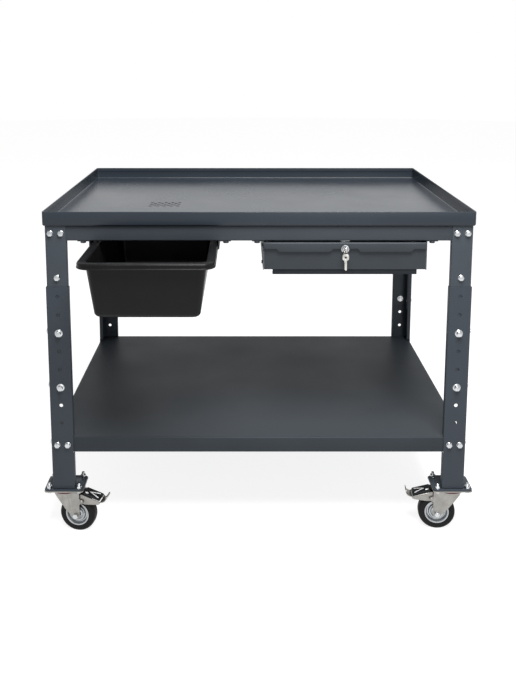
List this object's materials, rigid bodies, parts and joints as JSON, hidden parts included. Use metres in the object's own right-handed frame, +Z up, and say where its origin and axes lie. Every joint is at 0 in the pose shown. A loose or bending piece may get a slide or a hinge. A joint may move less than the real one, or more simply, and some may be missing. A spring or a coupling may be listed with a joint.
{
  "type": "mobile workbench",
  "caption": "Rolling steel workbench: rimmed drain tray over a pull-out tub and a lockable drawer, telescopic legs, lower shelf and braked swivel casters.",
  "frame": {"origin": "on the floor, under the middle of the box around the whole bench with its tub pulled out", "axes": "+Z up, +X to the right along the tray's long side, -Y to the front, where the tub and the drawer pull out"},
  "size_m": [1.158, 1.0104, 0.896],
  "materials": {
    "tray_paint": "satin powder coat",
    "beam_paint": "satin powder coat",
    "post_paint": "satin powder coat",
    "sleeve_paint": "satin powder coat",
    "shelf_paint": "satin powder coat",
    "drawer_paint": "satin powder coat",
    "caster_zinc": "zinc plated",
    "bolt_zinc": "bright zinc",
    "rim_zinc": "zinc plated, pressed",
    "slide_zinc": "zinc plated",
    "tyre_rubber": "matt",
    "seal_plastic": "matt",
    "pedal_plastic": "matt",
    "tub_plastic": "fine grained",
    "lock_chrome": "polished",
    "key_nickel": "nickel plated"
  },
  "bodies": {
    "frame": {"tray": "tray_paint", "apron_front": "beam_paint", "apron_back": "beam_paint", "apron_left": "beam_paint", "apron_right": "beam_paint", "post_front_left": "post_paint", "post_front_right": "post_paint", "post_back_left": "post_paint", "post_back_right": "post_paint", "sleeve_front_left": "sleeve_paint", "sleeve_front_right": "sleeve_paint", "sleeve_back_left": "sleeve_paint", "sleeve_back_right": "sleeve_paint", "foot_plates": "sleeve_paint", "shelf": "shelf_paint", "frame_bolts": "bolt_zinc", "clamp_bolts": "bolt_zinc", "shelf_bolts": "bolt_zinc", "caster_bolts": "bolt_zinc", "caster_plates": "caster_zinc", "caster_seals": "seal_plastic", "tub_rail_left": "beam_paint", "tub_rail_right": "beam_paint", "underframe_bolts": "bolt_zinc", "drawer_hanger_left": "beam_paint", "drawer_hanger_right": "beam_paint", "slides_outer": "slide_zinc", "lock_keeper": "slide_zinc"},
    "tub_body": {"tub": "tub_plastic"},
    "drawer": {"drawer_box": "drawer_paint", "drawer_front": "drawer_paint", "drawer_braces": "drawer_paint", "slides_inner": "slide_zinc", "lock_barrel": "lock_chrome"},
    "slide_members": {"slides_middle": "slide_zinc"},
    "lock": {"lock_plug": "lock_chrome", "lock_cam": "slide_zinc", "key": "key_nickel"},
    "hanging_key": {"key_ring": "key_nickel", "spare_key": "key_nickel"},
    "caster_front_left": {"fork_front_left": "caster_zinc", "axle_front_left": "bolt_zinc"},
    "wheel_front_left": {"rim_front_left": "rim_zinc", "tyre_front_left": "tyre_rubber"},
    "brake_left": {"brake_lever_left": "caster_zinc", "pedal_cover_left": "pedal_plastic"},
    "caster_front_right": {"fork_front_right": "caster_zinc", "axle_front_right": "bolt_zinc"},
    "wheel_front_right": {"rim_front_right": "rim_zinc", "tyre_front_right": "tyre_rubber"},
    "brake_right": {"brake_lever_right": "caster_zinc", "pedal_cover_right": "pedal_plastic"},
    "caster_back_left": {"fork_back_left": "caster_zinc", "axle_back_left": "bolt_zinc"},
    "wheel_back_left": {"rim_back_left": "rim_zinc", "tyre_back_left": "tyre_rubber"},
    "caster_back_right": {"fork_back_right": "caster_zinc", "axle_back_right": "bolt_zinc"},
    "wheel_back_right": {"rim_back_right": "rim_zinc", "tyre_back_right": "tyre_rubber"}
  },
  "joints": [
    {"name": "tub_slide", "type": "slide", "parent": "frame", "child": "tub_body", "axis": [0, -1, 0], "range_m": [-0.204, 0.15]},
    {"name": "drawer_slide", "type": "slide", "parent": "frame", "child": "drawer", "axis": [0, -1, 0], "range_m": [0, 0.45]},
    {"name": "slide_middle_travel", "type": "slide", "parent": "frame", "child": "slide_members", "axis": [0, -1, 0], "range_m": [0, 0.225]},
    {"name": "lock_turn", "type": "hinge", "parent": "drawer", "child": "lock", "pos_m": [0.2235, -0.29325, 0.797], "axis": [0, -1, 0], "range_deg": [0, 90]},
    {"name": "key_swing", "type": "hinge", "parent": "lock", "child": "hanging_key", "pos_m": [0.2235, -0.30825, 0.797], "axis": [1, 0, 0], "range_deg": [-90, 2.5]},
    {"name": "swivel_front_left", "type": "hinge", "parent": "frame", "child": "caster_front_left", "pos_m": [-0.5265, -0.26575, 0.115], "axis": [0, 0, 1], "continuous": true},
    {"name": "roll_front_left", "type": "hinge", "parent": "caster_front_left", "child": "wheel_front_left", "pos_m": [-0.49312, -0.27224, 0.05], "axis": [0.1908, 0.9816, 0], "continuous": true},
    {"name": "brake_left_press", "type": "hinge", "parent": "caster_front_left", "child": "brake_left", "pos_m": [-0.47742, -0.27529, 0.092], "axis": [0.1908, 0.9816, 0], "range_deg": [0, 12]},
    {"name": "swivel_front_right", "type": "hinge", "parent": "frame", "child": "caster_front_right", "pos_m": [0.5265, -0.26575, 0.115], "axis": [0, 0, 1], "continuous": true},
    {"name": "roll_front_right", "type": "hinge", "parent": "caster_front_right", "child": "wheel_front_right", "pos_m": [0.49269, -0.2622, 0.05], "axis": [-0.1045, -0.9945, 0], "continuous": true},
    {"name": "brake_right_press", "type": "hinge", "parent": "caster_front_right", "child": "brake_right", "pos_m": [0.47677, -0.26052, 0.092], "axis": [-0.1045, -0.9945, 0], "range_deg": [0, 12]},
    {"name": "swivel_back_left", "type": "hinge", "parent": "frame", "child": "caster_back_left", "pos_m": [-0.5265, 0.46325, 0.115], "axis": [0, 0, 1], "continuous": true},
    {"name": "roll_back_left", "type": "hinge", "parent": "caster_back_left", "child": "wheel_back_left", "pos_m": [-0.49283, 0.46798, 0.05], "axis": [-0.1392, 0.9903, 0], "continuous": true},
    {"name": "swivel_back_right", "type": "hinge", "parent": "frame", "child": "caster_back_right", "pos_m": [0.5265, 0.46325, 0.115], "axis": [0, 0, 1], "continuous": true},
    {"name": "roll_back_right", "type": "hinge", "parent": "caster_back_right", "child": "wheel_back_right", "pos_m": [0.49269, 0.4668, 0.05], "axis": [-0.1045, -0.9945, 0], "continuous": true}
  ],
  "couplings": [
    {"joint": "slide_middle_travel", "follows": "drawer_slide", "ratio": 0.5}
  ]
}
